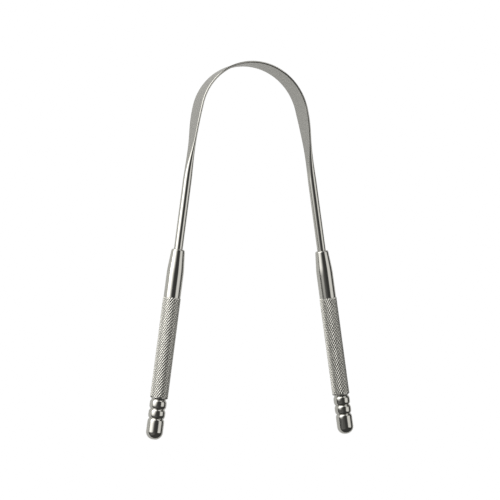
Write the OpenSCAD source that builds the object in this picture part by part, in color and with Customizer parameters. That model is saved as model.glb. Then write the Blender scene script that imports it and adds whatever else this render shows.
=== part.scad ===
// Tongue scraper: a springy steel bow with a flat band, held by two knurled steel handles.
// It lies flat with its bow towards +Y and its handles towards -Y, and rests on the edge of
// the band. All lengths are in millimetres and all angles in degrees.

/* [Band] */
// Width of the flat band, from edge to edge
blade_width = 11.5; // [9:0.5:14]
// Thickness of the flat band
blade_thickness = 0.9; // [0.7:0.05:1.2]
// Radius of the round arch, to the middle of the band's thickness
arch_radius = 22.9; // [19:0.1:28]
// Angle that the round arch turns on each side of its top
arch_turn = 76; // [66:1:78]

/* [Legs] */
// Diameter of the round rod that the bow is made from
rod_diameter = 3.5; // [3:0.1:4]
// Angle that each leg leans outwards
splay = 8; // [4:0.5:11]
// Radius of the slack bend between the arch and the straight leg
side_radius = 90; // [50:5:110]
// Straight length in which the band changes to the round rod
neck_straight = 21.5; // [16:0.5:32]
// Length of round rod that shows above each handle
rod_length = 27.4; // [15:0.2:45]
// Length of rod that is hidden in each handle
tang_length = 15; // [10:0.5:17]

/* [Handle nose] */
// Diameter of the plain round nose
nose_diameter = 6.7; // [6.2:0.05:8]
// Length from the mouth to the start of the knurl
nose_length = 19.4; // [18:0.2:28]
// Length of the taper at the mouth
taper_length = 8.4; // [5:0.2:12]
// Wall around the rod at the mouth, before the rim is rounded
mouth_wall = 0.85; // [0.7:0.05:1.1]
// Rounding of the rim at the mouth
mouth_round = 0.75; // [0.4:0.05:0.8]

/* [Knurl] */
// Length of the knurled grip
knurl_length = 39.6; // [25:0.1:60]
// Height of the diamonds' points above the nose
knurl_raise = 0.15; // [0.02:0.01:0.2]
// Depth of the knurl, from the points to the crossings of the cuts
knurl_depth = 0.2; // [0.15:0.01:0.4]
// Number of cuts of each hand around the grip
knurl_cuts = 22; // [16:1:28]
// Angle between a cut and the handle's axis
knurl_angle = 36; // [25:1:40]

/* [Beads and bulb] */
// Length of the sloping collar between the knurl and the first bead
collar_length = 0.6; // [0.6:0.1:2.5]
// Number of beads
bead_count = 2; // [1:1:4]
// Diameter of the beads
bead_diameter = 6.65; // [6.2:0.05:7.4]
// Length of one bead, from groove to groove
bead_length = 3.7; // [2.8:0.05:4.6]
// Radius of a bead's outline
bead_round = 2.5; // [2.2:0.05:3.2]
// Diameter of the bulb at the end
bulb_diameter = 6.6; // [6.2:0.05:7.6]
// Length of the bulb
bulb_length = 8.2; // [6:0.2:12]
// Rounding of the bulb beside the last bead
bulb_neck_round = 2.4; // [1.6:0.1:3]
// Rounding of the bulb's free end
bulb_end_round = 3; // [2:0.1:3]

/* [Hidden] */
$fn = 96;

// Gap around the rod in the handle's bore, filled by the joint
fit_gap = 0.03;
// Gap between the rod's end and the full depth of the bore
seat_gap = 0.2;
// Chamfers on the bore's mouth and on the rod's end
mouth_chamfer = 0.1;
tang_chamfer = 0.3;
// Angle of the drill's point
drill_angle = 118;
// Depth by which touching solids of one piece run into each other
bury = 0.1;
neck_bury = 0.5;
// How far the neck's end stands in from the rod's surface, at the joint and where it is buried
joint_inset = 0.01;
buried_inset = 0.12;

// Where the band starts to thicken, as a share of the neck's length from the arch
thicken_share = 0.5;
// Steps along half of the arch and along each neck, and points around a section
arch_steps = 18;
neck_steps = 24;
ring_points = 24;
// Size of the plain core in the knurl, and of the collar below it, beside the cuts' bottom
core_share = 0.95;

// Lengths on the centreline of one half of the bow, and the handle's place on the straight leg
arch_length = arch_radius * arch_turn * PI / 180;
side_turn = 90 - splay - arch_turn;
side_length = side_radius * side_turn * PI / 180;
neck_length = side_length + neck_straight;
handle_start = neck_straight + rod_length;

// Places along one handle, measured from its mouth
knurl_end = nose_length + knurl_length;
beads_start = knurl_end + collar_length;
bulb_start = beads_start + bead_count * bead_length;
handle_length = bulb_start + bulb_length;

// Radii of the handle
rod_r = rod_diameter / 2;
bore_r = rod_r + fit_gap;
mouth_r = bore_r + mouth_wall;
nose_r = nose_diameter / 2;
crest_r = nose_r + knurl_raise;
cut_r = crest_r - knurl_depth;
bead_r = bead_diameter / 2;
bead_centre_r = bead_r - bead_round;
groove_r = bead_centre_r + sqrt(pow(bead_round, 2) - pow(bead_length / 2, 2));
bulb_r = bulb_diameter / 2;
bulb_neck_r = bulb_r - bulb_neck_round;
bulb_end_r = bulb_r - bulb_end_round;
bulb_full = bulb_start + sqrt(pow(bulb_neck_round, 2) - pow(groove_r - bulb_neck_r, 2));
collar_r = core_share * cut_r;
core_r = core_share * min(groove_r, cut_r);
bore_depth = tang_length + seat_gap;

// Rows of diamonds along the grip, from the pitch around it and the angle of the cuts
row_height = PI * crest_r / knurl_cuts / tan(knurl_angle);
knurl_rows = round(knurl_length / row_height);

// Centres of the bends and the start of the straight leg, from the centre of the arch
side_centre = (arch_radius - side_radius) * outward(arch_turn);
leg_start = side_centre + side_radius * outward(90 - splay);

// The bow's top and the handles' lowest points set the middle of the whole length
top_y = arch_radius + blade_thickness / 2;
end_y = leg_start.y - cos(splay) * (handle_start + handle_length - bulb_end_round)
    - sin(splay) * bulb_end_r - bulb_end_round;
arch_y = -(top_y + end_y) / 2;
middle_z = blade_width / 2;

// Unit vector away from the arch's centre at an angle from its top
function outward(turn) = [sin(turn), cos(turn)];

// Eases from 0 to 1
function eased(share) = let (k = min(max(share, 0), 1)) k * k * (3 - 2 * k);
function blend(a, b, share) = a + (b - a) * share;

// Centreline of the band at a distance from the top of the arch, negative on the -X side: the
// turn of its outward normal, and its point from the arch's centre
function band_turn(s) = sign(s) * (
    min(abs(s), arch_length) / arch_radius
    + min(max(abs(s) - arch_length, 0), side_length) / side_radius
) * 180 / PI;
function band_point(s) =
    abs(s) < arch_length
        ? arch_radius * outward(band_turn(s))
        : let (
            side = side_centre + side_radius * outward(abs(band_turn(s)))
                + max(abs(s) - arch_length - side_length, 0) * [sin(splay), -cos(splay)]
        )
        [sign(s) * side.x, side.y];

// Share of the neck that lies above a place on the band
function neck_share(s) = (abs(s) - arch_length) / neck_length;

// Width and thickness of the band's section, and half the width of its flats. Half-round edges
// join the flats, which die out where the thickness has caught up with the width.
function band_width(s) = blend(blade_width, rod_diameter, eased(neck_share(s)));
function band_thickness(s) =
    blend(
        blade_thickness,
        rod_diameter,
        eased((neck_share(s) - thicken_share) / (1 - thicken_share))
    );
function band_flat(s) = (band_width(s) - band_thickness(s)) / 2;

// One ring of points around the band: two flats joined by two round edges
function band_ring(s, inset = 0) =
    let (
        centre = band_point(s),
        normal = outward(band_turn(s)),
        flat = band_flat(s),
        edge = band_width(s) / 2 - flat - inset,
        half = band_thickness(s) / 2 - inset
    )
    [for (i = [0 : ring_points - 1])
        let (
            a = (i + 0.5) * 360 / ring_points,
            across = half * cos(a),
            up = sign(sin(a)) * flat + edge * sin(a)
        )
        [centre.x + across * normal.x, centre.y + across * normal.y, up]];

// A ring moved along the centreline, to bury an end of the band in its rod
function moved(points, way) = [for (p = points) [p.x + way.x, p.y + way.y, p.z]];

// Faces between rings of points, with a fan at each end
function ring_faces(rings, n) = concat(
    [for (j = [0 : rings - 2], i = [0 : n - 1])
        let (k = (i + 1) % n) [j * n + i, (j + 1) * n + k, j * n + k]],
    [for (j = [0 : rings - 2], i = [0 : n - 1])
        let (k = (i + 1) % n) [j * n + i, (j + 1) * n + i, (j + 1) * n + k]],
    [for (i = [1 : n - 2]) [0, i, i + 1]],
    [for (i = [1 : n - 2]) [(rings - 1) * n, (rings - 1) * n + i + 1, (rings - 1) * n + i]]
);

// Stands its children along a leg: their +Z runs down the leg from the start of the straight
module on_leg(side) {
    translate([side * leg_start.x, arch_y + leg_start.y, middle_z])
        rotate([90, 0, side * splay])
            children();
}

// Flat band of the arch with its rounded edges, and the forged necks on both sides, where it
// turns into round rod. Its two ends are buried in the rods.
module band() {
    onward = neck_bury * [sin(splay), -cos(splay)];
    places = concat(
        [for (j = [neck_steps - 1 : -1 : 1]) -arch_length - j * neck_length / neck_steps],
        [for (j = [-arch_steps : arch_steps]) j * arch_length / arch_steps],
        [for (j = [1 : neck_steps - 1]) arch_length + j * neck_length / neck_steps]
    );
    last = arch_length + neck_length;
    rings = concat(
        [moved(band_ring(-last, buried_inset), [-onward.x, onward.y])],
        [band_ring(-last, joint_inset)],
        [for (s = places) band_ring(s)],
        [band_ring(last, joint_inset)],
        [moved(band_ring(last, buried_inset), onward)]
    );
    translate([0, arch_y, middle_z])
        polyhedron(
            points = [for (ring = rings) each ring],
            faces = ring_faces(len(rings), ring_points)
        );
}

// Round rod of one leg, with the tang that goes into the handle
module rod(side) {
    length = rod_length + tang_length;
    on_leg(side) translate([0, 0, neck_straight]) {
        cylinder(h = length - tang_chamfer, r = rod_r);
        translate([0, 0, length - tang_chamfer])
            cylinder(h = tang_chamfer, r1 = rod_r, r2 = rod_r - tang_chamfer);
    }
}

// Outline of the nose: a taper with a rounded rim, then a plain cylinder
module nose_outline() {
    slope = atan((nose_r - mouth_r) / taper_length);
    rim_r = mouth_r - mouth_round * (1 - sin(slope)) / cos(slope);
    polygon([
        [0, 0],
        [rim_r, 0],
        [rim_r + mouth_round * cos(slope), mouth_round * (1 - sin(slope))],
        [nose_r, taper_length],
        [nose_r, nose_length],
        [0, nose_length]
    ]);
    translate([rim_r, mouth_round]) circle(r = mouth_round);
}

// Outline of the drilled bore for the tang, with its chamfered mouth and pointed bottom
module bore_outline() {
    polygon([
        [0, 0],
        [bore_r + mouth_chamfer, 0],
        [bore_r, mouth_chamfer],
        [bore_r, bore_depth],
        [0, bore_depth + bore_r / tan(drill_angle / 2)]
    ]);
}

// Keeps the part of an outline at or beyond the axis, between two places along it
module beyond_axis(start, end) {
    intersection() {
        children();
        translate([0, start]) square([nose_diameter + bulb_diameter, end - start]);
    }
}

// Outline of the beads and of the collar above them
module bead_outline() {
    polygon([
        [0, knurl_end - bury],
        [collar_r, knurl_end - bury],
        [collar_r, knurl_end],
        [groove_r, beads_start],
        [0, beads_start]
    ]);
    for (i = [0 : bead_count - 1]) {
        start = beads_start + i * bead_length;
        beyond_axis(start, start + bead_length)
            translate([bead_centre_r, start + bead_length / 2]) circle(r = bead_round);
    }
}

// Outline of the bulb with its two rounded ends
module bulb_outline() {
    end_full = handle_length - bulb_end_round;
    beyond_axis(bulb_start, handle_length)
        translate([bulb_neck_r, bulb_full]) circle(r = bulb_neck_round);
    beyond_axis(bulb_start, handle_length)
        translate([bulb_end_r, end_full]) circle(r = bulb_end_round);
    polygon([
        [0, bulb_start],
        [bulb_neck_r, bulb_start],
        [bulb_neck_r, bulb_full],
        [bulb_r, bulb_full],
        [bulb_r, end_full],
        [bulb_end_r, end_full],
        [bulb_end_r, handle_length],
        [0, handle_length]
    ]);
}

// Turned body of a handle around its axis, with the bore and a plain core under the knurl
module turned_body() {
    rotate_extrude()
        difference() {
            union() {
                nose_outline();
                translate([0, nose_length - bury])
                    square([core_r, bulb_full - nose_length + bury]);
                bead_outline();
                bulb_outline();
            }
            bore_outline();
        }
}

// Diamond knurl: two opposite sets of helical cuts leave a pyramid between each four crossings.
// Points and crossings take turns around a ring, and change places from one ring to the next.
module knurl() {
    n = 2 * knurl_cuts;
    start = nose_length - bury;
    step = (knurl_end - start) / knurl_rows;
    points = concat(
        [for (j = [0 : knurl_rows], i = [0 : n - 1])
            let (
                crest = (i + j) % 2 == 0 && j < knurl_rows,
                r = crest ? crest_r : cut_r,
                a = i * 360 / n
            )
            [r * cos(a), r * sin(a), start + j * step]],
        [[0, 0, start], [0, 0, knurl_end]]
    );
    low = (knurl_rows + 1) * n;
    // Each four-sided cell is split along the edge that runs out of its crest
    faces = concat(
        [for (j = [0 : knurl_rows - 1], i = [0 : n - 1])
            let (k = (i + 1) % n, a = j * n + i, b = j * n + k, c = (j + 1) * n + k, d = (j + 1) * n + i)
            each (i + j) % 2 == 0 ? [[a, d, b], [b, d, c]] : [[a, c, b], [a, d, c]]],
        [for (i = [0 : n - 1]) [low, i, (i + 1) % n]],
        [for (i = [0 : n - 1])
            [low + 1, knurl_rows * n + (i + 1) % n, knurl_rows * n + i]]
    );
    polyhedron(points = points, faces = faces);
}

module handle(side) {
    on_leg(side)
        translate([0, 0, handle_start]) {
            turned_body();
            knurl();
        }
}

// One-piece spring bow: a rod, forged flat in its middle and bent into a U
module scraper_bow() {
    color("silver") {
        band();
        for (side = [-1, 1]) rod(side);
    }
}

// Turned and knurled handle on the -X side
module left_handle() {
    color("lightgray") handle(-1);
}

// Turned and knurled handle on the +X side
module right_handle() {
    color("lightgray") handle(1);
}

scraper_bow();
left_handle();
right_handle();
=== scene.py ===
"""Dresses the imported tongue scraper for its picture.

The frame holds the measured solids of the bow and the two handles. This script stands finer
shapes in their places, gives each its own steel, and sets up the bench, the lamps and the
camera. The classes hold their sizes in millimetres, as a drawing does; meshes are in metres.
"""

import sys

import logging
import math
from abc import ABC, abstractmethod
from dataclasses import dataclass, field
from enum import Enum

import bpy
import numpy as np
from mathutils import Matrix, Vector

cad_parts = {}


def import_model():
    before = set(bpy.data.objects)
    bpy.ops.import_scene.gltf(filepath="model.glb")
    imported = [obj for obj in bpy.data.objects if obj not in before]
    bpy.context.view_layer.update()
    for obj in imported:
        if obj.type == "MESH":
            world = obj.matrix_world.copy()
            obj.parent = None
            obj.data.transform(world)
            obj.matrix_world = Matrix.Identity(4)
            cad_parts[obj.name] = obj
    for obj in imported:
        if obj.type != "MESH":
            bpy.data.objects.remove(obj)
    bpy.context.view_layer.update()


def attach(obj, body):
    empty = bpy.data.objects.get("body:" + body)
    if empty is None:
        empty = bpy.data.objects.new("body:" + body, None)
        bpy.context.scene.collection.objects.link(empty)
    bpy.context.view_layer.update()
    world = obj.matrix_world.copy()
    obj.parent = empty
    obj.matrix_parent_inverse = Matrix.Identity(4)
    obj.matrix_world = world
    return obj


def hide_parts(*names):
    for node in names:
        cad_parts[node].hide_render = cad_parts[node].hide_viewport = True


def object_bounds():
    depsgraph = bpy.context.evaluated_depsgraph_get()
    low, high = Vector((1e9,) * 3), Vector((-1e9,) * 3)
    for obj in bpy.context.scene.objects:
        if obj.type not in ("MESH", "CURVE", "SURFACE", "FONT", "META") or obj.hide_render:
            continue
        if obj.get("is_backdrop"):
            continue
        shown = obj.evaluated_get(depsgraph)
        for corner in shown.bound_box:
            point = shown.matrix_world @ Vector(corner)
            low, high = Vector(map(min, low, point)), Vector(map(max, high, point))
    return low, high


Array = np.ndarray
Faces = list[tuple[int, ...]]
Feeds = dict[str | int, object]
Material = bpy.types.Material
Object = bpy.types.Object
Pair = tuple[float, float]
Socket = bpy.types.NodeSocket
Triple = tuple[float, float, float]

LOG = logging.getLogger("tongue_scraper")

MM = 0.001

# Marks that the pieces' points carry for the materials
PLACE = "local_place"
SATIN = "satin"
HEIGHT = "height"
GLOW = "glow"


class Side(Enum):
    """The two halves of the scraper, by the sign of their X."""

    LEFT = -1
    RIGHT = 1

    @property
    def word(self) -> str:
        """Name of the side, for piece names."""
        return self.name.lower()


class Slot(Enum):
    """The record's material slots."""

    BOW = "bow_steel"
    HANDLE = "handle_steel"


class Shading(Enum):
    """How the light runs over a mesh's faces."""

    SMOOTH = "smooth with creases"
    FACETED = "flat faces"


class Blend(Enum):
    """What a Mix node blends: its data type, the first input's number and the output's."""

    NUMBERS = ("FLOAT", 2, 0)
    COLOURS = ("RGBA", 6, 2)


def linear(code: str) -> tuple[float, ...]:
    """Turn an sRGB hex colour into Blender's linear RGBA.

    Args:
        code: Six hex digits after a hash, such as "#c4c2bc".

    Returns:
        Linear red, green, blue and an alpha of 1.
    """
    parts = [int(code[i : i + 2], 16) / 255 for i in (1, 3, 5)]
    red, green, blue = (
        p / 12.92 if p <= 0.04045 else ((p + 0.055) / 1.055) ** 2.4 for p in parts
    )
    return red, green, blue, 1.0


def per_mm(size: float) -> float:
    """Texture scale of a pattern that repeats every so many millimetres."""
    return 1.0 / (size * MM)


def add_node(
    tree: bpy.types.NodeTree,
    kind: str,
    settings: dict[str, object] | None = None,
    sockets: Feeds | None = None,
) -> bpy.types.Node:
    """Add a node, set it and feed its sockets.

    Args:
        tree: Node tree that gets the node.
        kind: Blender's name of the node's type.
        settings: Properties of the node by name.
        sockets: For each input, by name or number, a value or the output that feeds it.

    Returns:
        The new node.
    """
    node = tree.nodes.new(kind)
    for name, value in (settings or {}).items():
        setattr(node, name, value)
    for key, value in (sockets or {}).items():
        if isinstance(value, Socket):
            tree.links.new(value, node.inputs[key])
        else:
            node.inputs[key].default_value = value
    return node


def eased(share: Array) -> Array:
    """Ease shares from 0 to 1, level at both ends and outside them."""
    k = np.clip(share, 0.0, 1.0)
    return k * k * (3.0 - 2.0 * k)


def ring_faces(rings: int, points: int) -> Faces:
    """Faces of a tube made of rings of points, with a flat cap at each end.

    Args:
        rings: Number of rings.
        points: Points in each ring.

    Returns:
        Quads between the rings, then the two caps.
    """
    faces: Faces = []
    for j in range(rings - 1):
        low, high = j * points, (j + 1) * points
        for i in range(points):
            k = (i + 1) % points
            faces.append((low + i, low + k, high + k, high + i))
    faces.append(tuple(range(points - 1, -1, -1)))
    faces.append(tuple((rings - 1) * points + i for i in range(points)))
    return faces


def crossed(line: Array) -> tuple[Array, Array]:
    """Places across and up a square sheet, row by row, from those along a side."""
    across, up = np.meshgrid(line, line)
    return across.ravel(), up.ravel()


def sheet(name: str, points: Array, material: Material) -> Object:
    """Make a square sheet for the studio.

    Args:
        name: Name of the sheet.
        points: Its points in metres, row by row, with as many rows as columns.
        material: Its material.

    Returns:
        The sheet, in the scene.
    """
    row = math.isqrt(len(points))
    faces = [
        (j * row + i, j * row + i + 1, (j + 1) * row + i + 1, (j + 1) * row + i)
        for j in range(row - 1)
        for i in range(row - 1)
    ]
    mesh = bpy.data.meshes.new(name)
    mesh.from_pydata(points.tolist(), [], faces)
    mesh.materials.append(material)
    made = bpy.data.objects.new(name, mesh)
    bpy.context.scene.collection.objects.link(made)
    return made


@dataclass
class MeshPlan:
    """Points and faces of one piece before it becomes a Blender mesh.

    Attributes:
        points: Points in the frame of the part, in millimetres.
        faces: Faces as indices of points, against the clock seen from outside.
        place: For each point its place in the piece's own axes, in millimetres.
        marks: Further numbers for each point, by attribute name.
        crease: Angle between faces in degrees that makes an edge crisp.
    """

    points: Array
    faces: Faces
    place: Array
    marks: dict[str, Array] = field(default_factory=dict)
    shading: Shading = Shading.SMOOTH
    crease: float = 32.0

    def make(self, name: str, material: Material, slot: Slot, node: str) -> Object:
        """Make the piece and hang it on the part's body.

        Args:
            name: Name of the piece.
            material: Its steel.
            slot: The record's slot for the piece. It is not used.
            node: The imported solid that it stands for.

        Returns:
            The finished object.
        """
        mesh = bpy.data.meshes.new(name)
        mesh.from_pydata((self.points * MM).tolist(), [], self.faces)
        smooth = self.shading is Shading.SMOOTH
        mesh.polygons.foreach_set("use_smooth", [smooth] * len(mesh.polygons))
        if smooth:
            mesh.set_sharp_from_angle(angle=math.radians(self.crease))
        place = mesh.attributes.new(PLACE, "FLOAT_VECTOR", "POINT")
        place.data.foreach_set("vector", (self.place * MM).astype(np.float32).ravel())
        for mark, values in self.marks.items():
            attribute = mesh.attributes.new(mark, "FLOAT", "POINT")
            attribute.data.foreach_set("value", values.astype(np.float32))
        mesh.materials.append(material)
        mesh.validate()
        mesh.update()
        piece = bpy.data.objects.new(name, mesh)
        bpy.context.scene.collection.objects.link(piece)
        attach(piece, "root")
        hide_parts(node)
        LOG.info("made %s: %d points, %d faces", name, len(self.points), len(self.faces))
        return piece


class Recipe:
    """A material in the making, with the steps that the finishes share."""

    def __init__(self, name: str) -> None:
        """Start an empty material.

        Args:
            name: The real material and how it is worked.
        """
        self.material = bpy.data.materials.new(name)
        self.material.use_nodes = True
        self.tree = self.material.node_tree
        self.tree.nodes.clear()

    def mark(self, name: str, output: str = "Fac") -> Socket:
        """Read a mark of the piece's points."""
        node = add_node(self.tree, "ShaderNodeAttribute", {"attribute_name": name})
        return node.outputs[output]

    def scaled(self, place: Socket, factors: Triple) -> Socket:
        """Scale places, which draws a pattern out where a factor is small.

        Args:
            place: The places.
            factors: Factor along each axis.

        Returns:
            The scaled places.
        """
        settings = {"operation": "MULTIPLY"}
        node = add_node(self.tree, "ShaderNodeVectorMath", settings, {0: place, 1: factors})
        return node.outputs["Vector"]

    def noise(self, size: float, **sockets: float | Socket) -> Socket:
        """Cloudy noise.

        Args:
            size: Size of a cloud in millimetres.
            sockets: Its other inputs. Without a Vector it is read over the mesh's own box.

        Returns:
            Its level, from 0 to 1.
        """
        sockets["Scale"] = per_mm(size)
        settings = {"noise_dimensions": "3D"}
        return add_node(self.tree, "ShaderNodeTexNoise", settings, sockets).outputs["Fac"]

    def maths(self, operation: str, *values: float | Socket, clamp: bool = False) -> Socket:
        """Work out a number.

        Args:
            operation: Blender's name of the sum.
            values: What goes into it.
            clamp: Whether the result is kept between 0 and 1.

        Returns:
            The result.
        """
        settings = {"operation": operation, "use_clamp": clamp}
        node = add_node(self.tree, "ShaderNodeMath", settings, dict(enumerate(values)))
        return node.outputs["Value"]

    def ranged(
        self,
        value: Socket,
        results: Pair,
        limits: Pair = (0.0, 1.0),
        curve: str = "LINEAR",
    ) -> Socket:
        """Turn one range of numbers into another, level outside it.

        Args:
            value: The number.
            results: What it becomes at each limit.
            limits: Ends of its own range.
            curve: Blender's name of the way between them.

        Returns:
            The result.
        """
        names = ("Value", "From Min", "From Max", "To Min", "To Max")
        sockets = dict(zip(names, (value, *limits, *results)))
        settings = {"interpolation_type": curve}
        return add_node(self.tree, "ShaderNodeMapRange", settings, sockets).outputs["Result"]

    def blended(self, kind: Blend, factor: Socket, first: object, second: object) -> Socket:
        """Blend two numbers or two colours.

        Args:
            kind: What is blended.
            factor: Share of the second.
            first: First value or output.
            second: Second value or output.

        Returns:
            The blend.
        """
        data_type, start, result = kind.value
        sockets = {"Factor": factor, start: first, start + 1: second}
        node = add_node(self.tree, "ShaderNodeMix", {"data_type": data_type}, sockets)
        return node.outputs[result]

    def tinted(self, factor: Socket, first: str, second: str) -> Socket:
        """Blend two colours given in hex, by the share of the second."""
        return self.blended(Blend.COLOURS, factor, linear(first), linear(second))

    def faced(self, kind: str, sockets: Feeds) -> Material:
        """Finish the material.

        Args:
            kind: Blender's name of its surface.
            sockets: What feeds the surface.

        Returns:
            The material.
        """
        surface = add_node(self.tree, kind, {}, sockets).outputs[0]
        add_node(self.tree, "ShaderNodeOutputMaterial", {}, {"Surface": surface})
        return self.material

    def metal(
        self, colour: Socket, roughness: Socket, relief: Socket, strength: float, depth: float
    ) -> Material:
        """Finish the material as bare metal.

        Args:
            colour: Its colour.
            roughness: Its roughness.
            relief: Height of its fine relief, from 0 to 1.
            strength: Strength of that relief.
            depth: Depth of that relief in millimetres.

        Returns:
            The material.
        """
        sockets = {"Height": relief, "Strength": strength, "Distance": depth * MM}
        bump = add_node(self.tree, "ShaderNodeBump", {}, sockets).outputs["Normal"]
        sockets = {"Base Color": colour, "Roughness": roughness, "Normal": bump}
        return self.faced("ShaderNodeBsdfPrincipled", {**sockets, "Metallic": 1.0})


@dataclass(frozen=True)
class Finish(ABC):
    """A surface finish that can make its Blender material.

    Sizes, spacings and depths are in millimetres. A pair of roughnesses holds at a pair of
    limits, which are levels of a noise. A factor draws a noise out along an axis.
    """

    name: str

    @abstractmethod
    def build(self) -> Material:
        """Make the material."""


@dataclass(frozen=True)
class TurnedPolishedSteel(Finish):
    """Stainless steel, turned on a lathe and buffed to a mirror.

    It gives the eye sharp, slightly warm reflections, with hair-fine rings around the
    handle that only show where a highlight ends, and faint smears from handling. A
    scratch's width is a share of the scratches' spacing, and it adds to the roughness.
    """

    name: str = "turned_polished_stainless_steel"
    bright: str = "#c6c5c0"
    dull: str = "#bbbab4"
    roughness: Pair = (0.05, 0.13)
    smear_size: float = 5.0
    smear_limits: Pair = (0.38, 0.68)
    ring_spacing: float = 0.16
    ring_depth: float = 0.0006
    ring_factor: float = 0.01
    scratch_size: float = 0.9
    scratch_width: float = 0.02
    scratch_factor: float = 0.12
    scratch_roughness: float = 0.05

    def build(self) -> Material:
        """Make the material.

        Returns:
            The material, with its rings, scratches and smears.
        """
        recipe = Recipe(self.name)
        place = recipe.mark(PLACE, "Vector")
        # The real rings, some 0.03 mm apart, are too fine to show and are drawn wider.
        around = recipe.scaled(place, (self.ring_factor, self.ring_factor, 1.0))
        rings = recipe.noise(self.ring_spacing, Vector=around, Detail=2.0, Roughness=0.6)
        smears = recipe.noise(
            self.smear_size, Vector=place, Detail=4.0, Roughness=0.55, Distortion=0.6
        )
        scratches = add_node(
            recipe.tree,
            "ShaderNodeTexVoronoi",
            {"feature": "DISTANCE_TO_EDGE"},
            {
                "Vector": recipe.scaled(place, (1.0, 1.0, self.scratch_factor)),
                "Scale": per_mm(self.scratch_size),
            },
        ).outputs["Distance"]
        rougher, limits = (self.scratch_roughness, 0.0), (0.0, self.scratch_width)
        scratched = recipe.ranged(scratches, rougher, limits, "SMOOTHSTEP")
        smeared = recipe.ranged(smears, self.roughness, self.smear_limits, "SMOOTHSTEP")
        roughness = recipe.maths("ADD", smeared, scratched)
        colour = recipe.tinted(smears, self.bright, self.dull)
        return recipe.metal(colour, roughness, rings, strength=0.5, depth=self.ring_depth)


@dataclass(frozen=True)
class ForgedBowSteel(Finish):
    """Stainless spring steel: flats ground to a satin, the round rod and edges buffed.

    The flats give the eye an even, soft grey with a grain that runs along the band. The
    rod and the band's rounded edges give sharp streaks of light and dark.
    """

    name: str = "forged_stainless_spring_steel"
    satin_bright: str = "#b5b4b0"
    satin_dull: str = "#adaca8"
    satin_roughness: Pair = (0.39, 0.47)
    satin_limits: Pair = (0.3, 0.7)
    buffed_bright: str = "#c6c5c0"
    buffed_dull: str = "#bbbab4"
    buffed_roughness: Pair = (0.06, 0.12)
    buffed_limits: Pair = (0.35, 0.75)
    grain_spacing: float = 0.12
    grain_depth: float = 0.003
    grain_factor: float = 0.03
    mottle_size: float = 1.6

    def build(self) -> Material:
        """Make the material.

        Returns:
            The material, which turns from buffed to satin by the piece's satin mark.
        """
        recipe = Recipe(self.name)
        place = recipe.mark(PLACE, "Vector")
        satin = recipe.mark(SATIN)
        # Real belt lines, some 0.05 mm apart, are too fine to show and are drawn wider.
        along = recipe.scaled(place, (self.grain_factor, 1.0, 1.0))
        grain = recipe.noise(self.grain_spacing, Vector=along, Detail=3.0, Roughness=0.65)
        mottle = recipe.noise(self.mottle_size, Vector=place, Detail=5.0, Roughness=0.6)
        roughness = recipe.blended(
            Blend.NUMBERS,
            satin,
            recipe.ranged(mottle, self.buffed_roughness, self.buffed_limits),
            recipe.ranged(mottle, self.satin_roughness, self.satin_limits),
        )
        colour = recipe.blended(
            Blend.COLOURS,
            satin,
            recipe.tinted(mottle, self.buffed_bright, self.buffed_dull),
            recipe.tinted(grain, self.satin_bright, self.satin_dull),
        )
        relief = recipe.maths("MULTIPLY", grain, satin)
        return recipe.metal(colour, roughness, relief, strength=0.6, depth=self.grain_depth)


@dataclass(frozen=True)
class KnurledSteel(Finish):
    """Stainless steel with a rolled diamond knurl.

    Each diamond's facets flash light or dark as they turn to the lamps. The points are
    smoother, and the bottoms of the cuts are rougher and carry painted shade. Small
    tears, about a third of a diamond, make the border between the two uneven.
    """

    name: str = "knurled_stainless_steel"
    point_colour: str = "#d6d5cf"
    cut_painted_shade: str = "#c3c2bd"
    roughness: Pair = (0.34, 0.24)
    tear_size: float = 0.18
    tear_depth: float = 0.012
    tear_reach: float = 0.5

    def build(self) -> Material:
        """Make the material.

        Returns:
            The material, which turns from the painted shade of the cuts to the points
            by the piece's height mark.
        """
        recipe = Recipe(self.name)
        place = recipe.mark(PLACE, "Vector")
        tears = recipe.noise(self.tear_size, Vector=place, Detail=3.0, Roughness=0.6)
        uneven = recipe.maths("MULTIPLY_ADD", tears, self.tear_reach, -self.tear_reach / 2.0)
        level = recipe.maths("ADD", recipe.mark(HEIGHT), uneven, clamp=True)
        # Painted shade: the colour darkens from the points down into the bottoms of the cuts.
        colour = recipe.tinted(level, self.cut_painted_shade, self.point_colour)
        roughness = recipe.ranged(level, self.roughness)
        return recipe.metal(colour, roughness, tears, strength=0.5, depth=self.tear_depth)


@dataclass(frozen=True)
class MattBench(Finish):
    """Matt pale board. It gives the steel an even ground with no gloss to mirror.

    Its glow stands for light that bounces on it in a real studio.
    """

    name: str = "matt_pale_board"
    colour: str = "#bdbdba"
    glow: float = 0.44
    glow_colour: str = "#fcfcfb"
    gloss: float = 0.2
    speck_size: float = 3.0
    roughness: Pair = (0.86, 0.96)

    def build(self) -> Material:
        """Make the material.

        Returns:
            The material, faintly uneven.
        """
        recipe = Recipe(self.name)
        specks = recipe.noise(self.speck_size, Detail=3.0)
        sockets = {
            "Base Color": linear(self.colour),
            "Roughness": recipe.ranged(specks, self.roughness),
            "Specular IOR Level": self.gloss,
            "Emission Color": linear(self.glow_colour),
            "Emission Strength": self.glow,
        }
        return recipe.faced("ShaderNodeBsdfPrincipled", sockets)


@dataclass(frozen=True)
class ClearedGround(Finish):
    """Plain white ground, as bright as the picture's white and no brighter.

    It gives the eye the photograph's cleared background. Brighter than white, it would
    eat into the edges of the steel.
    """

    name: str = "plain_white_ground"
    colour: str = "#ffffff"

    def build(self) -> Material:
        """Make the material, an even glow."""
        sockets = {"Color": linear(self.colour), "Strength": 1.0}
        return Recipe(self.name).faced("ShaderNodeEmission", sockets)


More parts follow.
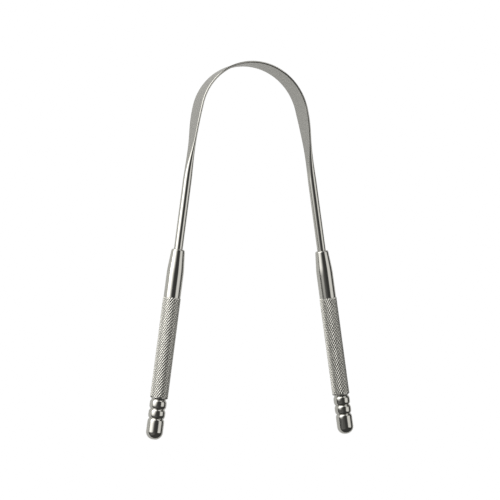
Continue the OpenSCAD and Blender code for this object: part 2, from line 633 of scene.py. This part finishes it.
@dataclass(frozen=True)
class GlowingCloth(Finish):
    """White diffuser cloth lit from behind. It gives the steel its soft-edged highlights.

    Attributes:
        radiance: Brightness of its lit face.
        dim: Brightness where the lamp behind it doesn't reach.
    """

    name: str = "white_diffuser_cloth"
    radiance: float = 1.0
    dim: float = 0.065
    colour: str = "#fffefb"

    def build(self) -> Material:
        """Make the material.

        Returns:
            The material, which glows by the piece's glow mark.
        """
        recipe = Recipe(self.name)
        strength = recipe.ranged(recipe.mark(GLOW), (self.dim, self.radiance))
        sockets = {"Color": linear(self.colour), "Strength": strength}
        return recipe.faced("ShaderNodeEmission", sockets)


@dataclass
class SpringBow:
    """The bow: one rod, forged to a flat band in its middle and bent into a U.

    Attributes:
        arch_turn: Degrees that the arch turns to each side of its top.
        side_radius: Radius of the slack bend between the arch and a leg.
        splay: Degrees that a leg leans outwards.
        neck_straight: Straight part of the neck, in which the band turns into the rod.
        narrow_share: Share of the neck in which the band narrows to the rod.
        thicken_share: Share of the neck at which the band starts to thicken.
        satin_start: Half width of a flat at which the satin starts to come in.
        satin_blend: Further half width after which the flat is wholly satin.
        middle_z: Height of the scraper's middle plane.
        steps: Longest step along the arch, the neck and the rod.
        skin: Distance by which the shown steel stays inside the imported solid.
    """

    blade_width: float = 11.5
    blade_thickness: float = 0.9
    arch_radius: float = 22.9
    arch_turn: float = 76.0
    side_radius: float = 90.0
    splay: float = 8.0
    neck_straight: float = 21.5
    rod_diameter: float = 3.5
    rod_length: float = 27.4
    tang_length: float = 15.0
    narrow_share: float = 0.93
    thicken_share: float = 0.4
    satin_start: float = 0.1
    satin_blend: float = 0.5
    arch_y: float = 51.6603
    middle_z: float = 5.75
    ring_points: int = 96
    steps: Triple = (0.5, 0.4, 2.0)
    skin: float = 0.005

    @property
    def arch_length(self) -> float:
        """Half of the round arch, along its middle."""
        return self.arch_radius * math.radians(self.arch_turn)

    @property
    def side_length(self) -> float:
        """Slack bend between the arch and the straight leg."""
        return self.side_radius * math.radians(90.0 - self.splay - self.arch_turn)

    @property
    def neck_length(self) -> float:
        """Length in which the band turns into the round rod."""
        return self.side_length + self.neck_straight

    @property
    def half_length(self) -> float:
        """Length from the top of the arch to the end of a tang."""
        return self.arch_length + self.neck_length + self.rod_length + self.tang_length

    @property
    def mouth(self) -> Array:
        """X and Y at which the right rod enters its handle."""
        return self.centres(np.array([self.half_length - self.tang_length]))[0]

    def turns(self, run: Array) -> Array:
        """Turn of the band's outward face.

        Args:
            run: Distances from the top of the arch, negative on the left.

        Returns:
            Angles from +Y towards +X, in radians.
        """
        far = np.abs(run)
        arch = np.minimum(far, self.arch_length) / self.arch_radius
        side = np.clip(far - self.arch_length, 0.0, self.side_length)
        return np.sign(run) * (arch + side / self.side_radius)

    def centres(self, run: Array) -> Array:
        """Middle of the section.

        Args:
            run: Distances from the top of the arch, negative on the left.

        Returns:
            An array of X and Y in the frame of the part.
        """
        far = np.abs(run)
        turn = np.abs(self.turns(run))
        out = np.stack([np.sin(turn), np.cos(turn)], axis=1)
        bend = math.radians(self.arch_turn)
        lean = math.radians(self.splay)
        pivot = (self.arch_radius - self.side_radius) * np.array(
            [math.sin(bend), math.cos(bend)]
        )
        past = np.maximum(far - self.arch_length - self.side_length, 0.0)
        leg = np.array([math.sin(lean), -math.cos(lean)])
        lower = pivot + self.side_radius * out + past[:, None] * leg
        upper = self.arch_radius * out
        middle = np.where((far < self.arch_length)[:, None], upper, lower)
        middle[:, 0] *= np.where(run < 0, -1.0, 1.0)
        middle[:, 1] += self.arch_y
        return middle

    def sections(self, run: Array) -> tuple[Array, Array, Array]:
        """Width, thickness and half of the flat's width.

        Args:
            run: Distances from the top of the arch.

        Returns:
            Three arrays in millimetres.
        """
        share = (np.abs(run) - self.arch_length) / self.neck_length
        narrowed = eased(share / self.narrow_share)
        width = self.blade_width + (self.rod_diameter - self.blade_width) * narrowed
        thickened = eased((share - self.thicken_share) / (1.0 - self.thicken_share))
        thickness = (
            self.blade_thickness + (self.rod_diameter - self.blade_thickness) * thickened
        )
        return width, thickness, (width - thickness) / 2.0

    def places(self) -> Array:
        """Distances from the top of the arch at which the band gets a ring.

        Returns:
            Distances from the left tang's end to the right one's.
        """
        neck_end = self.arch_length + self.neck_length
        stops = (0.0, self.arch_length, neck_end, self.half_length)
        parts = [
            np.linspace(start, end, math.ceil((end - start) / step))[1:]
            for start, end, step in zip(stops, stops[1:], self.steps)
        ]
        half = np.concatenate([[0.0], *parts])
        return np.concatenate([-half[:0:-1], half])

    def plan(self) -> MeshPlan:
        """Lay out the bow's mesh.

        Returns:
            Rings of points from the left tang to the right one.
        """
        run = self.places()
        turn = self.turns(run)
        middle = self.centres(run)
        width, thickness, flat = (size[:, None] for size in self.sections(run))
        angle = (np.arange(self.ring_points) + 0.5) * 2.0 * math.pi / self.ring_points
        half = thickness / 2.0 - self.skin
        edge = width / 2.0 - flat - self.skin
        across = half * np.cos(angle)
        up = np.sign(np.sin(angle)) * flat + edge * np.sin(angle)
        x = middle[:, 0, None] + across * np.sin(turn)[:, None]
        y = middle[:, 1, None] + across * np.cos(turn)[:, None]
        points = np.stack([x, y, self.middle_z + up], axis=2)
        place = np.stack([np.broadcast_to(run[:, None], up.shape), across, up], axis=2)
        # Only the two points at the ends of each flat carry the satin
        on_flat = np.abs(np.cos(angle)) > math.cos(2.0 * math.pi / self.ring_points)
        satin = eased((flat - self.satin_start) / self.satin_blend) * on_flat
        return MeshPlan(
            points.reshape(-1, 3),
            ring_faces(len(run), self.ring_points),
            place.reshape(-1, 3),
            {SATIN: satin.ravel()},
        )

    def build(self, steel: Material) -> Object:
        """Make the bow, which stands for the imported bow, of the given steel."""
        return self.plan().make("spring_bow", steel, Slot.BOW, "scraper_bow")


@dataclass
class KnurlLattice:
    """Points and faces of a diamond knurl, rolled out flat.

    Two opposite sets of cuts cross on a lattice whose columns go around the grip and whose
    rows go along it. Between each four crossings stands a blunt, rounded point. A place is
    a column, a row and a level, which is 0 at the bottom of a cut and 1 on top of a point.

    Attributes:
        columns: Columns around the grip, two for each cut.
        rows: Rows along the grip.
        rim_level: Level to which the sleeve's end is closed.
        crests: Length of a point's blunt top along each hand of cuts, as a share of a cell.
        flank: For each ring of a point its share of the way out from the top, and its level.
        corners: Number of the place at each crossing, by column and row.
    """

    columns: int
    rows: int
    rim_level: float
    crests: Pair = (0.65, 0.28)
    flank: tuple[Pair, ...] = ((0.0, 1.0), (0.35, 0.88), (0.85, 0.5))
    places: list[Triple] = field(default_factory=list)
    faces: Faces = field(default_factory=list)
    corners: dict[tuple[int, int], int] = field(default_factory=dict)

    def add(self, column: float, row: float, level: float) -> int:
        """Add a place and return its number."""
        self.places.append((column, row, level))
        return len(self.places) - 1

    def corner(self, column: int, row: int) -> int:
        """Number of the place at a crossing, also past the last column."""
        return self.corners[column % self.columns, row]

    def roll(self) -> Array:
        """Lay the crossings, the points and the ends.

        Returns:
            Columns, rows and levels of the places.
        """
        for row in range(self.rows + 1):
            for column in range(self.columns):
                if (column + row) % 2 or row in (0, self.rows):
                    self.corners[column, row] = self.add(column, row, 0.0)
        for row in range(1, self.rows):
            for column in range(row % 2, self.columns, 2):
                self.raise_point(column, row)
        self.close_end(0, 1)
        self.close_end(self.rows, self.rows - 1)
        self.turn_rim()
        return np.array(self.places).T

    def raise_point(self, column: int, row: int) -> None:
        """Raise a blunt point between its four crossings.

        Args:
            column: Column of its middle.
            row: Row of its middle.
        """
        rings = []
        for share, level in self.flank:
            near, far = (crest + (1.0 - crest) * share for crest in self.crests)
            x, y = (near + far) / 2.0, (near - far) / 2.0
            ways = ((-x, -y), (-y, -x), (x, y), (y, x))
            rings.append([self.add(column + a, row + b, level) for a, b in ways])
        ways = ((-1, 0), (0, -1), (1, 0), (0, 1))
        rings.append([self.corner(column + a, row + b) for a, b in ways])
        self.faces.append(tuple(rings[0]))
        for inner, outer in zip(rings, rings[1:]):
            for k in range(len(ways)):
                self.faces.append((inner[k - 1], outer[k - 1], outer[k], inner[k]))

    def close_end(self, row: int, beside: int) -> None:
        """Fill the half diamonds along an end.

        Args:
            row: The end's row.
            beside: The row next to it.
        """
        for column in range(row % 2, self.columns, 2):
            tip = self.corner(column, beside)
            for first in (column - 1, column):
                face = (self.corner(first, row), self.corner(first + 1, row), tip)
                self.faces.append(face if row == 0 else face[::-1])

    def turn_rim(self) -> None:
        """Turn the sleeve's last row in to the collar."""
        start = len(self.places)
        for column in range(self.columns):
            self.add(column, self.rows, self.rim_level)
        for column in range(self.columns):
            after = (column + 1) % self.columns
            rim, rim_after = self.corner(column, self.rows), self.corner(after, self.rows)
            self.faces.append((rim, rim_after, start + after, start + column))


@dataclass
class Handle:
    """A turned handle with a plain nose, a diamond knurl, beads and a bulb.

    Lengths run from the handle's mouth. A crown is the nearly flat round on top of a bead
    or of the bulb.

    Attributes:
        side: The leg that it stands on.
        fit_gap: Room between the rod and the bore.
        bore_shown: Depth to which the bore is shown, past which the rod hides it.
        nose_length: Length of the nose with its taper.
        taper_blend: Half of the length in which the taper bends into the nose.
        crest_radius: Radius over the knurl's points.
        knurl_cuts: Cuts of each hand.
        knurl_angle: Degrees between a cut and the handle's axis.
        bury: Distance by which the knurl's ends reach into the nose and the collar.
        crown_round: Radius of the crowns.
        crown_turn: Degrees from the axis at which a crown ends.
        skin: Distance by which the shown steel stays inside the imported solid.
    """

    side: Side
    bow: SpringBow
    fit_gap: float = 0.03
    bore_shown: float = 4.0
    mouth_wall: float = 0.85
    mouth_round: float = 0.75
    mouth_chamfer: float = 0.1
    nose_radius: float = 3.35
    nose_length: float = 19.4
    nose_edge: float = 0.03
    taper_length: float = 8.4
    taper_blend: float = 1.6
    blend_steps: int = 12
    knurl_length: float = 39.6
    crest_radius: float = 3.5
    knurl_depth: float = 0.2
    knurl_cuts: int = 22
    knurl_angle: float = 36.0
    bury: float = 0.1
    collar_length: float = 0.6
    collar_radius: float = 3.135
    bead_count: int = 2
    bead_radius: float = 3.325
    bead_length: float = 3.7
    bulb_radius: float = 3.3
    bulb_length: float = 8.2
    bulb_end_round: float = 3.0
    crown_round: float = 8.0
    crown_turn: float = 6.0
    shoulder_round: float = 1.5
    groove_fillet: float = 0.08
    ring_points: int = 144
    skin: float = 0.002

    @property
    def name(self) -> str:
        """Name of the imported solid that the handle's pieces stand for."""
        return f"{self.side.word}_handle"

    @property
    def knurl_end(self) -> float:
        """Where the knurl ends."""
        return self.nose_length + self.knurl_length

    @property
    def beads_start(self) -> float:
        """Where the first bead starts."""
        return self.knurl_end + self.collar_length

    @property
    def bulb_start(self) -> float:
        """Where the bulb starts."""
        return self.beads_start + self.bead_count * self.bead_length

    @property
    def bead_steep(self) -> float:
        """Steepest place of a bead's shoulder.

        Returns:
            Degrees from the axis.
        """
        crown = math.sin(math.radians(self.crown_turn))
        reach = self.bead_length / 2.0 - (self.crown_round - self.shoulder_round) * crown
        return math.degrees(math.asin(reach / (self.shoulder_round + self.groove_fillet)))

    @property
    def groove_radius(self) -> float:
        """Bottom of the grooves beside the beads.

        Returns:
            Its radius.
        """
        crown = math.cos(math.radians(self.crown_turn))
        steep = math.cos(math.radians(self.bead_steep))
        return (
            self.bead_radius
            - self.crown_round * (1.0 - crown)
            - self.shoulder_round * (crown - steep)
            - self.groove_fillet * (1.0 - steep)
        )

    @property
    def bulb_steep(self) -> float:
        """Steepest place of the bulb's shoulder.

        Returns:
            Degrees from the axis.
        """
        crown = math.cos(math.radians(self.crown_turn))
        drop = self.bulb_radius - self.groove_radius - self.crown_round * (1.0 - crown)
        steep = self.shoulder_round * crown + self.groove_fillet - drop
        return math.degrees(math.acos(steep / (self.shoulder_round + self.groove_fillet)))

    def stand(self, local: Array) -> Array:
        """Move points from the handle's own axes to the frame of the part.

        Args:
            local: Points with the third number along the handle from its mouth.

        Returns:
            The same points on the leg.
        """
        lean = math.radians(self.bow.splay) * self.side.value
        cos, sin = math.cos(lean), math.sin(lean)
        axes = np.array([[cos, sin, 0.0], [0.0, 0.0, 1.0], [sin, -cos, 0.0]])
        x, y = self.bow.mouth
        return np.array([self.side.value * x, y, self.bow.middle_z]) + local @ axes

    @staticmethod
    def arc(
        centre: Pair | Array, radius: float, start: float, end: float, steps: int
    ) -> Array:
        """Points on a round of the profile.

        Args:
            centre: Radius and length of the round's centre.
            radius: Radius of the round.
            start: First angle in degrees, from outwards towards the handle's end.
            end: Last angle in degrees.
            steps: Number of steps.

        Returns:
            An array of radius and length.
        """
        angle = np.radians(np.linspace(start, end, steps + 1))
        return centre + radius * np.stack([np.cos(angle), np.sin(angle)], axis=1)

    @staticmethod
    def line(start: Pair | Array, end: Pair, steps: int) -> Array:
        """Points on a straight of the profile, with a short step at each end.

        Args:
            start: Radius and length of the first point.
            end: Radius and length of the last point.
            steps: Number of steps between the two short ones.

        Returns:
            An array of radius and length. The short steps, 0.04 mm or a fifth of the
            straight, keep the shading of the rounds beside the straight off it.
        """
        way = np.subtract(end, start)
        short = min(0.2, 0.04 / float(np.linalg.norm(way)))
        shares = np.concatenate([[0.0], np.linspace(short, 1.0 - short, steps + 1), [1.0]])
        return start + way * shares[:, None]

    def nose_profile(self) -> Array:
        """Bore, rim, taper and plain nose.

        Returns:
            An array of radius and length.
        """
        bore = self.bow.rod_diameter / 2.0 + self.fit_gap
        mouth = bore + self.mouth_wall
        slope = math.atan((self.nose_radius - mouth) / self.taper_length)
        rim = mouth - self.mouth_round * (1.0 - math.sin(slope)) / math.cos(slope)
        bend_start = self.taper_length - self.taper_blend
        bend_end = self.taper_length + self.taper_blend
        before = self.nose_radius - math.tan(slope) * self.taper_blend
        share = np.linspace(0.0, 1.0, self.blend_steps + 1)
        rise = math.tan(slope) * 2.0 * self.taper_blend * (share - share**2 / 2.0)
        bend = np.stack([before + rise, bend_start + (bend_end - bend_start) * share], axis=1)
        middle = (rim, self.mouth_round)
        rounded = self.arc(middle, self.mouth_round, -90.0, -math.degrees(slope), steps=20)
        straight = self.line(rounded[-1], (before, bend_start), steps=8)
        plain_end = (self.nose_radius, self.nose_length - self.nose_edge)
        plain = self.line((self.nose_radius, bend_end), plain_end, steps=10)
        return np.concatenate(
            [
                self.line((bore, self.bore_shown), (bore, self.mouth_chamfer), steps=2),
                [[bore + self.mouth_chamfer, 0.0]],
                rounded,
                straight[1:],
                bend[1:],
                plain[1:],
                [[self.nose_radius - self.nose_edge, self.nose_length]],
            ]
        )

    def tail_profile(self) -> Array:
        """Collar, beads and bulb.

        Returns:
            An array of radius and length.
        """
        collar_end = (self.groove_radius, self.beads_start)
        parts = [self.line((self.collar_radius, self.knurl_end), collar_end, steps=3)]
        for i in range(self.bead_count):
            start = self.beads_start + i * self.bead_length
            rise = self.rise(start, self.bead_steep)
            fall = rise[-2::-1] * [1.0, -1.0] + [0.0, 2.0 * start + self.bead_length]
            parts += [rise[1:], fall]
        neck = self.rise(self.bulb_start, self.bulb_steep)
        end_full = self.bulb_start + self.bulb_length - self.bulb_end_round
        side_start = (self.bulb_radius, neck[-1, 1])
        side = self.line(side_start, (self.bulb_radius, end_full), steps=6)
        end_middle = (self.bulb_radius - self.bulb_end_round, end_full)
        end = self.arc(end_middle, self.bulb_end_round, 0.0, 90.0, steps=40)
        parts += [neck[1:], side[1:], end[1:]]
        return np.concatenate(parts)

    def rise(self, start: float, steep: float) -> Array:
        """Profile from the bottom of a groove to the top of a bead or of the bulb.

        Args:
            start: Where the groove's bottom is.
            steep: Degrees from the axis at the steepest place.

        Returns:
            An array of radius and length: the groove's fillet, the shoulder and the crown.
        """
        bottom = (self.groove_radius + self.groove_fillet, start)
        parts = [self.arc(bottom, self.groove_fillet, 180.0, 180.0 - steep, steps=12)]
        for radius, turn, end, steps in (
            (self.shoulder_round, steep, self.crown_turn, 20),
            (self.crown_round, self.crown_turn, 0.0, 10),
        ):
            inward = [-math.cos(math.radians(turn)), math.sin(math.radians(turn))]
            centre = parts[-1][-1] + np.multiply(inward, radius)
            parts.append(self.arc(centre, radius, -turn, -end, steps)[1:])
        return np.concatenate(parts)

    def lathe(self, profile: Array) -> MeshPlan:
        """Turn a profile around the handle's axis.

        Args:
            profile: Radius and length of each point, from the mouth's side to the end.

        Returns:
            The turned surface.
        """
        angle = np.arange(self.ring_points) * 2.0 * math.pi / self.ring_points
        radius = profile[:, 0, None] - self.skin
        along = np.broadcast_to(profile[:, 1, None], (len(profile), self.ring_points))
        local = np.stack(
            [radius * np.cos(angle), radius * np.sin(angle), along], axis=2
        ).reshape(-1, 3)
        faces = ring_faces(len(profile), self.ring_points)
        return MeshPlan(self.stand(local), faces, local)

    def knurl(self) -> MeshPlan:
        """Roll the diamond knurl.

        Returns:
            The knurled sleeve, faceted.
        """
        start = self.nose_length - self.bury
        length = self.knurl_end - start
        pitch = math.pi * self.crest_radius / self.knurl_cuts
        rows = round(length / (pitch / math.tan(math.radians(self.knurl_angle))))
        rim_drop = self.crest_radius - self.collar_radius + self.bury
        lattice = KnurlLattice(2 * self.knurl_cuts, rows, 1.0 - rim_drop / self.knurl_depth)
        column, row, level = lattice.roll()
        radius = self.crest_radius - self.knurl_depth * (1.0 - level) - self.skin
        angle = column * math.pi / self.knurl_cuts
        along = start + row * (length / rows)
        local = np.stack([radius * np.cos(angle), radius * np.sin(angle), along], axis=1)
        marks = {HEIGHT: np.clip(level, 0.0, 1.0)}
        return MeshPlan(self.stand(local), lattice.faces, local, marks, Shading.FACETED)

    def build(self, polished: Material, knurled: Material) -> list[Object]:
        """Make the handle's pieces.

        Args:
            polished: Steel of the nose, the beads and the bulb.
            knurled: Steel of the grip.

        Returns:
            The nose, the grip and the tail, which are one turned bar in the real tool.
        """
        pieces = (
            ("nose", self.lathe(self.nose_profile()), polished),
            ("grip", self.knurl(), knurled),
            ("tail", self.lathe(self.tail_profile()), polished),
        )
        return [
            plan.make(f"{self.side.word}_{part}", steel, Slot.HANDLE, self.name)
            for part, plan, steel in pieces
        ]


@dataclass(frozen=True)
class SoftBox:
    """A flat soft box, turned to the scraper, that fades towards its edges.

    Attributes:
        bearing: Degrees from +X towards +Y in which it stands.
        height: Degrees above the bench.
        half_width: Degrees from its middle to its left or right edge.
        half_rise: Degrees from its middle to its top or bottom edge.
        radiance: Brightness of its middle, where a white board in the picture is 1.
        fades: Shares of its width and rise over which it fades in from its right edge,
            its left edge, its bottom edge and its top edge, seen from the scraper.
        dim: Brightness of its faded edges.
        distance: Metres from the scraper.
        least_fade: Share that stands for an edge with no fade.
    """

    name: str
    bearing: float
    height: float
    half_width: float
    half_rise: float
    radiance: float
    fades: tuple[float, float, float, float]
    dim: float = 0.065
    distance: float = 1.0
    steps: int = 32
    least_fade: float = 1e-4

    def build(self) -> Object:
        """Stand the lamp and turn it to the scraper.

        Returns:
            The lamp, marked as no part of the object.
        """
        turn, tilt = math.radians(self.bearing), math.radians(self.height)
        level = math.cos(tilt)
        way = np.array([math.cos(turn) * level, math.sin(turn) * level, math.sin(tilt)])
        aside = np.array([-math.sin(turn), math.cos(turn), 0.0])
        upward = np.cross(way, aside)
        u, v = crossed(np.linspace(0.0, 1.0, self.steps + 1))
        wide = math.tan(math.radians(self.half_width)) * (2.0 * u - 1.0)
        high = math.tan(math.radians(self.half_rise)) * (2.0 * v - 1.0)
        points = self.distance * (way + wide[:, None] * aside + high[:, None] * upward)
        glow = np.ones(len(points))
        for share, fade in zip((u, 1.0 - u, v, 1.0 - v), self.fades):
            glow *= eased(share / max(fade, self.least_fade))
        cloth = GlowingCloth(f"{self.name}_cloth", self.radiance, self.dim)
        lamp = sheet(self.name, points, cloth.build())
        mark = lamp.data.attributes.new(GLOW, "FLOAT", "POINT")
        mark.data.foreach_set("value", glow.astype(np.float32))
        lamp.visible_camera = False
        lamp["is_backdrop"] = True
        LOG.info("lit %s", self.name)
        return lamp


@dataclass
class Studio:
    """Bench, white card, lamps and the dim room around them.

    The boards' sizes are in metres.
    """

    bench_reach: float = 0.55
    bench_drop: float = 0.12
    card_reach: float = 3.0
    card_drop: float = 0.0001
    board_steps: int = 12
    room_light: float = 0.065
    room_tint: Triple = (1.0, 1.0, 0.97)
    lamps: tuple[SoftBox, ...] = (
        SoftBox("key_softbox", 149.0, 28.0, 47.0, 36.0, 3.2, (0.15, 0.42, 0.0, 0.73), 0.11),
        SoftBox(
            "left_wall", 200.0, 42.0, 38.0, 40.0, 0.2, (0.0, 0.3, 0.1, 0.6), distance=1.7
        ),
        SoftBox("right_card", -0.5, 43.0, 17.5, 31.0, 1.1, (0.06, 0.05, 0.4, 0.25)),
        SoftBox("upper_right_card", 64.0, 34.0, 20.0, 18.0, 1.5, (0.06, 0.3, 0.4, 0.3)),
    )

    def board(self, name: str, finish: Finish, reach: float, drop: float) -> Object:
        """Lay a flat board under the scraper.

        Args:
            name: Name of the board.
            finish: Its finish.
            reach: Metres from its middle to its edges.
            drop: Metres that it lies below the scraper.

        Returns:
            The board, marked as no part of the object.
        """
        x, y = crossed(np.linspace(-reach, reach, self.board_steps + 1))
        points = np.stack([x, y, np.full_like(x, -drop)], axis=1)
        board = sheet(name, points, finish.build())
        board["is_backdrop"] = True
        return board

    def build(self) -> None:
        """Set up the bench, the card that the camera sees, the lamps and the room."""
        bench = self.board("bench", MattBench(), self.bench_reach, self.bench_drop)
        bench.visible_camera = False
        # The photograph's ground is cleared to plain white, while the steel mirrors the
        # real bench. So the camera sees a white card, and the steel sees the bench.
        card = self.board("white_card", ClearedGround(), self.card_reach, self.card_drop)
        card.visible_diffuse = card.visible_glossy = card.visible_shadow = False
        for lamp in self.lamps:
            lamp.build()
        world = bpy.data.worlds.new("dim_room")
        world.use_nodes = True
        tint = [self.room_light * share for share in self.room_tint]
        world.node_tree.nodes["Background"].inputs["Color"].default_value = (*tint, 1.0)
        scene = bpy.context.scene
        scene.world = world
        scene.view_settings.view_transform = "Standard"
        # The denoiser smears the fine cuts of the knurl.
        scene.cycles.use_denoising = False
        LOG.info("set up the bench and the room")


@dataclass(frozen=True)
class PhotoCamera:
    """Camera at the photograph's viewing angle, found by fitting the outline.

    Attributes:
        swing: Degrees towards +X from straight above.
        tilt: Degrees towards +Y from there.
        roll: Degrees about its own line of sight.
        distance: Millimetres from the middle of the scraper.
        scale: Pixels for each millimetre in the middle of the picture.
        aside: Millimetres that the scraper's middle stands off the line of sight.
        frame_side: Side of the picture in pixels.
        sensor: Width of the sensor in millimetres.
        clip: Nearest and farthest distance that it sees, in metres.
    """

    swing: float = -21.32
    tilt: float = -2.19
    roll: float = 0.258
    distance: float = 709.2
    scale: float = 2.495
    aside: Pair = (0.427, 0.447)
    frame_side: int = 500
    sensor: float = 36.0
    clip: Pair = (0.05, 20.0)
    middle_z: float = 5.75

    def build(self) -> Object:
        """Stand the camera and make it the scene's own.

        Returns:
            The camera.
        """
        swing = Matrix.Rotation(math.radians(-self.swing), 3, "Y")
        tilt = Matrix.Rotation(math.radians(self.tilt), 3, "X")
        roll = Matrix.Rotation(math.radians(self.roll), 3, "Z")
        turned = (roll @ tilt @ swing).transposed()
        spot = turned @ Vector((-self.aside[0], -self.aside[1], self.distance))
        spot.z += self.middle_z
        data = bpy.data.cameras.new("photo_camera")
        data.sensor_width = self.sensor
        data.lens = self.scale * self.distance / self.frame_side * self.sensor
        data.clip_start, data.clip_end = self.clip
        camera = bpy.data.objects.new("photo_camera", data)
        camera.matrix_world = Matrix.Translation(spot * MM) @ turned.to_4x4()
        bpy.context.scene.collection.objects.link(camera)
        bpy.context.scene.camera = camera
        LOG.info("stood the camera, lens %.1f mm", data.lens)
        return camera


def corners() -> list[list[float]]:
    """Lowest and highest corner of the shown object, in metres."""
    return [[float(v) for v in corner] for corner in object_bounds()]


def main() -> None:
    """Build the scraper's pieces, the studio and the camera."""
    logging.basicConfig(level=logging.INFO, format="%(message)s", stream=sys.stdout)
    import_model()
    bow = SpringBow()
    bow.build(ForgedBowSteel().build())
    polished, knurled = TurnedPolishedSteel().build(), KnurledSteel().build()
    for side in Side:
        Handle(side, bow).build(polished, knurled)
    Studio().build()
    PhotoCamera().build()


if __name__ == "__main__":
    main()
